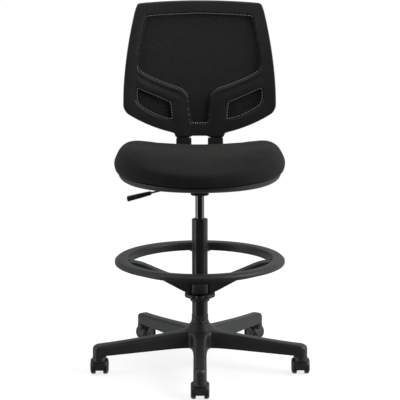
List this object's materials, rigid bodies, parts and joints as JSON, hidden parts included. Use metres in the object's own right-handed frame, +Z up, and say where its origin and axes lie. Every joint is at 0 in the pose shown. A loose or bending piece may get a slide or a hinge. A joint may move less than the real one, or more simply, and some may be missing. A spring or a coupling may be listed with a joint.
{
  "type": "drafting chair",
  "caption": "Armless drafting chair: padded seat on a gas column, mesh back with a V brace, sliding foot ring, star base on hooded twin-wheel casters.",
  "frame": {"origin": "on the floor on the column's axis, which is also the middle of the base", "axes": "+Z up, -Y is the way the sitter faces, +X is on the right as seen from the front, so left and right in names are as seen facing the chair"},
  "size_m": [0.6788, 0.6894, 1.146],
  "materials": {
    "base_nylon": "moulded black nylon with a fine matte grain",
    "wheel_nylon": "smooth black nylon",
    "ring_nylon": "moulded black nylon, slightly satin",
    "frame_plastic": "satin black moulded plastic",
    "pan_plastic": "textured black moulded plastic",
    "lever_plastic": "black moulded plastic",
    "column_paint": "satin black powder coat on steel tube",
    "bracket_paint": "black powder coat on pressed steel",
    "cylinder_chrome": "glossy black chrome",
    "steel": "zinc plated steel",
    "bumper_rubber": "black rubber",
    "seat_fabric": "closely woven black upholstery fabric",
    "mesh_fabric": "fine black open mesh",
    "plywood": "bare plywood"
  },
  "bodies": {
    "base": {"base_star": "base_nylon", "column_tube": "column_paint", "guide_bushing": "base_nylon", "column_foot_collar": "base_nylon", "bearing_race": "steel"},
    "rod": {"ball_cage": "steel", "thrust_washer": "steel", "bump_stop": "bumper_rubber", "rod_clip": "steel", "piston_rod": "steel"},
    "seat": {"gas_cylinder": "cylinder_chrome", "seat_bracket": "bracket_paint", "seat_plate": "bracket_paint", "plate_bolts": "steel", "lever_pin": "steel", "seat_pan": "pan_plastic", "seat_board": "plywood", "seat_tnuts": "steel", "arm_inserts": "steel", "seat_cushion": "seat_fabric", "back_bar_left": "bracket_paint", "back_bar_right": "bracket_paint", "back_bar_bolts": "steel", "bar_sleeve_left": "frame_plastic", "bar_sleeve_right": "frame_plastic", "back_frame": "frame_plastic", "back_mesh": "mesh_fabric", "back_retainer": "frame_plastic", "back_screws": "steel"},
    "valve_pin": {"release_pin": "steel"},
    "lever": {"lever_rod": "steel", "lever_paddle": "lever_plastic"},
    "ring_carrier": {"ring_collet": "ring_nylon"},
    "foot_ring": {"foot_ring": "ring_nylon"},
    "ring_lock": {"ring_lock": "ring_nylon"},
    "caster_1": {"caster_1_hood": "base_nylon", "caster_1_stem": "steel", "caster_1_axle": "steel"},
    "caster_1_left": {"caster_1_wheel_left": "wheel_nylon"},
    "caster_1_right": {"caster_1_wheel_right": "wheel_nylon"},
    "caster_2": {"caster_2_hood": "base_nylon", "caster_2_stem": "steel", "caster_2_axle": "steel"},
    "caster_2_left": {"caster_2_wheel_left": "wheel_nylon"},
    "caster_2_right": {"caster_2_wheel_right": "wheel_nylon"},
    "caster_3": {"caster_3_hood": "base_nylon", "caster_3_stem": "steel", "caster_3_axle": "steel"},
    "caster_3_left": {"caster_3_wheel_left": "wheel_nylon"},
    "caster_3_right": {"caster_3_wheel_right": "wheel_nylon"},
    "caster_4": {"caster_4_hood": "base_nylon", "caster_4_stem": "steel", "caster_4_axle": "steel"},
    "caster_4_left": {"caster_4_wheel_left": "wheel_nylon"},
    "caster_4_right": {"caster_4_wheel_right": "wheel_nylon"},
    "caster_5": {"caster_5_hood": "base_nylon", "caster_5_stem": "steel", "caster_5_axle": "steel"},
    "caster_5_left": {"caster_5_wheel_left": "wheel_nylon"},
    "caster_5_right": {"caster_5_wheel_right": "wheel_nylon"}
  },
  "joints": [
    {"name": "seat_swivel", "type": "hinge", "parent": "base", "child": "rod", "pos_m": [0, 0, 0.07], "axis": [0, 0, 1], "continuous": true},
    {"name": "seat_height", "type": "slide", "parent": "rod", "child": "seat", "axis": [0, 0, 1], "range_m": [-0.062, 0.17]},
    {"name": "lever_lift", "type": "hinge", "parent": "seat", "child": "lever", "pos_m": [-0.02, 0, 0.586], "axis": [0, 1, 0], "range_deg": [0, 8], "stiffness_Nm_per_rad": 3, "springref_deg": -8.59},
    {"name": "valve_press", "type": "slide", "parent": "seat", "child": "valve_pin", "axis": [0, 0, 1], "range_m": [-0.004, 0]},
    {"name": "ring_height", "type": "slide", "parent": "base", "child": "ring_carrier", "axis": [0, 0, 1], "range_m": [-0.04, 0.1]},
    {"name": "ring_turn", "type": "hinge", "parent": "ring_carrier", "child": "foot_ring", "pos_m": [0, 0, 0.27], "axis": [0, 0, 1], "continuous": true},
    {"name": "ring_lock_turn", "type": "hinge", "parent": "foot_ring", "child": "ring_lock", "pos_m": [0, 0, 0.24], "axis": [0, 0, 1], "range_deg": [0, 60]},
    {"name": "caster_1_swivel", "type": "hinge", "parent": "base", "child": "caster_1", "pos_m": [0, -0.328, 0.06], "axis": [0, 0, 1], "continuous": true},
    {"name": "caster_1_left_roll", "type": "hinge", "parent": "caster_1", "child": "caster_1_left", "pos_m": [0, -0.318, 0.025], "axis": [1, 0, 0], "continuous": true},
    {"name": "caster_1_right_roll", "type": "hinge", "parent": "caster_1", "child": "caster_1_right", "pos_m": [0, -0.318, 0.025], "axis": [1, 0, 0], "continuous": true},
    {"name": "caster_2_swivel", "type": "hinge", "parent": "base", "child": "caster_2", "pos_m": [0.31195, -0.10136, 0.06], "axis": [0, 0, 1], "continuous": true},
    {"name": "caster_2_left_roll", "type": "hinge", "parent": "caster_2", "child": "caster_2_left", "pos_m": [0.31195, -0.09136, 0.025], "axis": [1, 0, 0], "continuous": true},
    {"name": "caster_2_right_roll", "type": "hinge", "parent": "caster_2", "child": "caster_2_right", "pos_m": [0.31195, -0.09136, 0.025], "axis": [1, 0, 0], "continuous": true},
    {"name": "caster_3_swivel", "type": "hinge", "parent": "base", "child": "caster_3", "pos_m": [0.19279, 0.26536, 0.06], "axis": [0, 0, 1], "continuous": true},
    {"name": "caster_3_left_roll", "type": "hinge", "parent": "caster_3", "child": "caster_3_left", "pos_m": [0.18572, 0.27243, 0.025], "axis": [0.7071, 0.7071, 0], "continuous": true},
    {"name": "caster_3_right_roll", "type": "hinge", "parent": "caster_3", "child": "caster_3_right", "pos_m": [0.18572, 0.27243, 0.025], "axis": [0.7071, 0.7071, 0], "continuous": true},
    {"name": "caster_4_swivel", "type": "hinge", "parent": "base", "child": "caster_4", "pos_m": [-0.19279, 0.26536, 0.06], "axis": [0, 0, 1], "continuous": true},
    {"name": "caster_4_left_roll", "type": "hinge", "parent": "caster_4", "child": "caster_4_left", "pos_m": [-0.18572, 0.27243, 0.025], "axis": [0.7071, -0.7071, 0], "continuous": true},
    {"name": "caster_4_right_roll", "type": "hinge", "parent": "caster_4", "child": "caster_4_right", "pos_m": [-0.18572, 0.27243, 0.025], "axis": [0.7071, -0.7071, 0], "continuous": true},
    {"name": "caster_5_swivel", "type": "hinge", "parent": "base", "child": "caster_5", "pos_m": [-0.31195, -0.10136, 0.06], "axis": [0, 0, 1], "continuous": true},
    {"name": "caster_5_left_roll", "type": "hinge", "parent": "caster_5", "child": "caster_5_left", "pos_m": [-0.31195, -0.09136, 0.025], "axis": [1, 0, 0], "continuous": true},
    {"name": "caster_5_right_roll", "type": "hinge", "parent": "caster_5", "child": "caster_5_right", "pos_m": [-0.31195, -0.09136, 0.025], "axis": [1, 0, 0], "continuous": true}
  ],
  "couplings": [
    {"joint": "valve_press", "follows": "lever_lift", "m_per_rad": -0.026}
  ]
}
